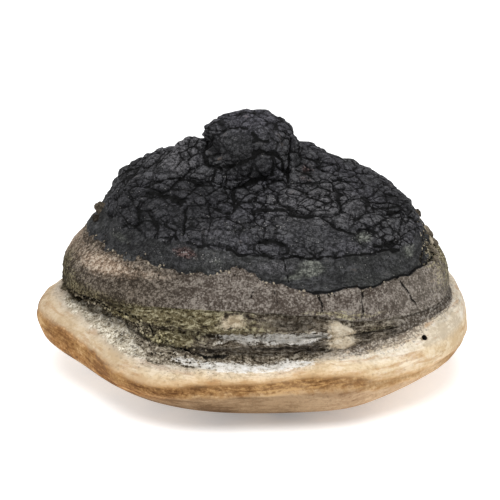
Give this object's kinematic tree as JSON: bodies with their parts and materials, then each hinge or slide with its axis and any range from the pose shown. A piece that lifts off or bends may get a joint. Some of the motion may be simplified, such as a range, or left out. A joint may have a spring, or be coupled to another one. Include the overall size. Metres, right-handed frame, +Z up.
{
  "type": "bracket fungus",
  "caption": "Hoof-shaped bracket fungus with a cracked black crust, a knob on top, grey growth bands, a thick pale margin and a flat cut at the back.",
  "frame": {"origin": "On the surface that the fungus stands on, under the middle of its bounding box.", "axes": "+Z up. +X runs along the width, to the right of someone who faces the front. +Y runs backwards, out of the flat cut, so the front looks along -Y."},
  "size_m": [0.1991, 0.1331, 0.1167],
  "materials": {
    "fungus": "matte, cracked crust"
  },
  "bodies": {
    "root": {"conk": "fungus"}
  },
  "joints": []
}
